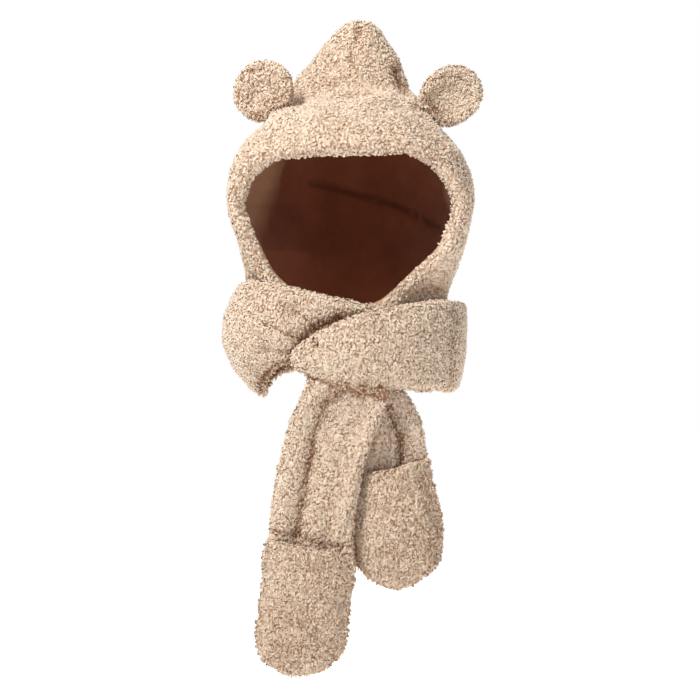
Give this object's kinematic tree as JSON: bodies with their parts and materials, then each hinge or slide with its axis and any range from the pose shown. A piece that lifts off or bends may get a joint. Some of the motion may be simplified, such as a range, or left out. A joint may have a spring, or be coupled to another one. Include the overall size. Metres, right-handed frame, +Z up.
{
  "type": "animal hood scarf",
  "caption": "Peaked plush hood with round ears, a smooth lining, and a padded scarf crossed at the throat whose hanging ends carry hand pockets.",
  "frame": {"origin": "the head seat: where the crown of the lining bears on the top of the wearer's head", "axes": "+Z up through the peak, the face opening towards -Y, +X to the wearer's left"},
  "size_m": [0.2693, 0.2507, 0.677],
  "materials": {
    "plush": "curly beige pile",
    "lining": "short smooth brown nap"
  },
  "bodies": {
    "root": {"hood": "plush", "hood_lining": "lining", "ear_left": "plush", "ear_right": "plush", "scarf_left": "plush", "scarf_right": "plush", "pocket_left": "plush", "pocket_right": "plush"}
  },
  "joints": []
}
